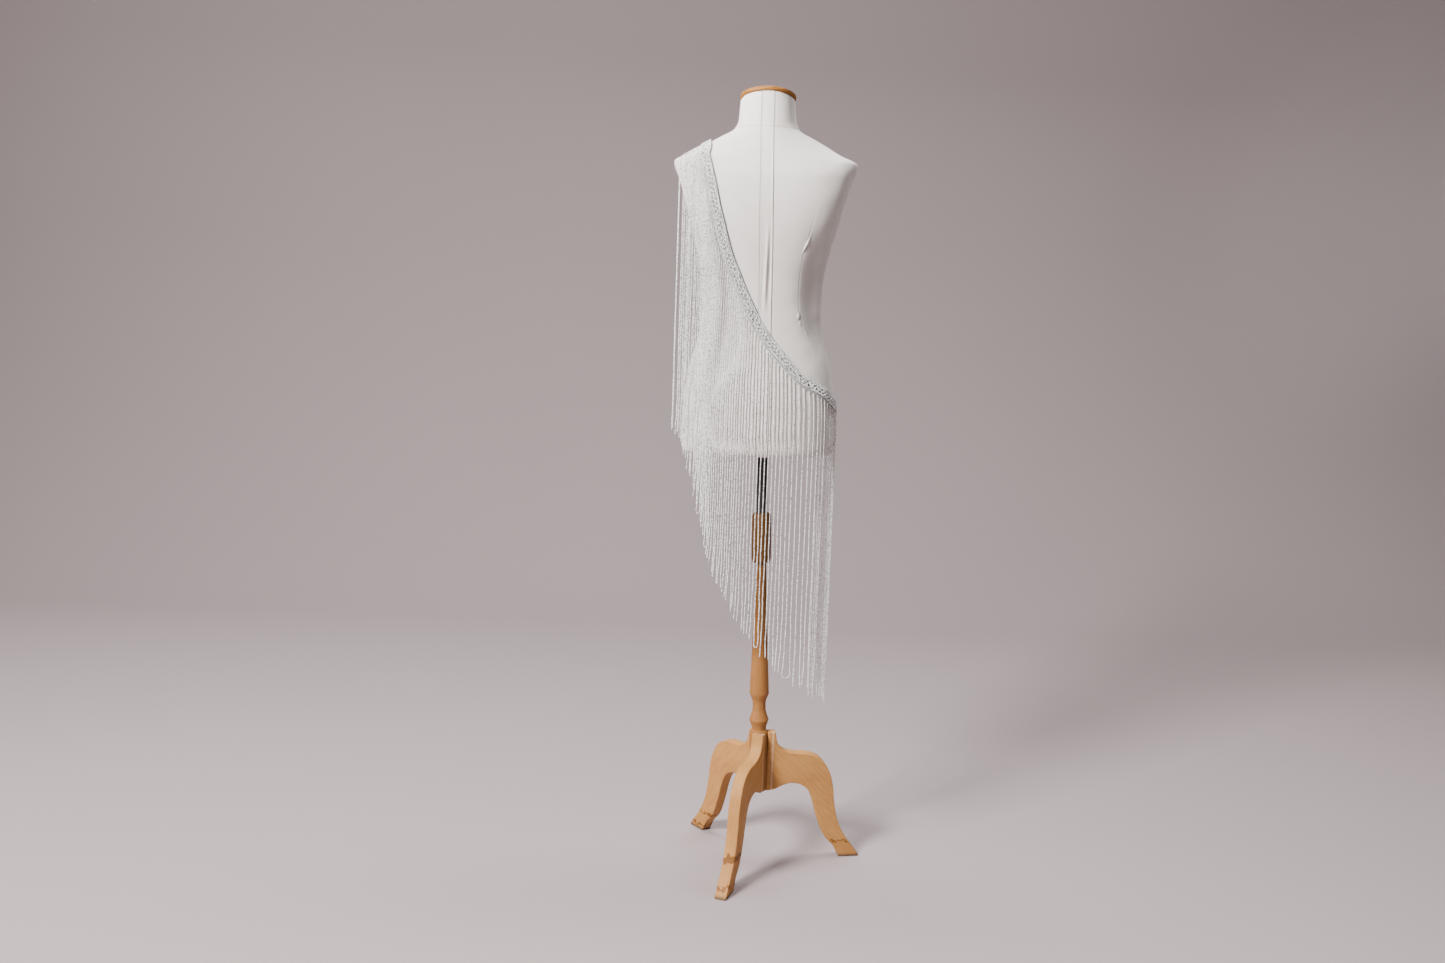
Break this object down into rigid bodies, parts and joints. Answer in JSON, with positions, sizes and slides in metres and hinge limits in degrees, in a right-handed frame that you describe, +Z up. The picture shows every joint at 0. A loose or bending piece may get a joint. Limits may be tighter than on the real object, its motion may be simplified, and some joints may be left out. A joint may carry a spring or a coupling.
{
  "type": "beaded fringe trim on a dress form",
  "caption": "Silver-white beaded fringe trim, hung from the left shoulder to the right hip across the back of a cloth-covered dress form on a turned wooden tripod stand",
  "frame": {"origin": "on the ground, at the middle of the bounding box's base", "axes": "+Z up, along the stand and the hanging strands; -Y is the form's back, where the trim crosses; +X is the right as seen from behind"},
  "size_m": [0.4638, 0.4104, 1.6785],
  "materials": {
    "strand_beads": "small opaque silver-white glass beads threaded close together, satin with small highlights",
    "heading_beads": "looped silver-white beaded braid",
    "form_cloth": "off-white plain-woven cotton drawn tight over padding, with seams and a few creases",
    "cap_wood": "light brown satin varnish",
    "stand_wood": "tan satin varnish, darker and worn near the feet",
    "rod_metal": "black satin enamel"
  },
  "bodies": {
    "root": {"bead_fringe": "strand_beads", "heading_band": "heading_beads", "form_body": "form_cloth", "neck_cap": "cap_wood", "stand_rod": "rod_metal", "stand_collar": "stand_wood", "stand_post": "stand_wood", "leg_right": "stand_wood", "leg_front_left": "stand_wood", "leg_back_left": "stand_wood"}
  },
  "joints": []
}
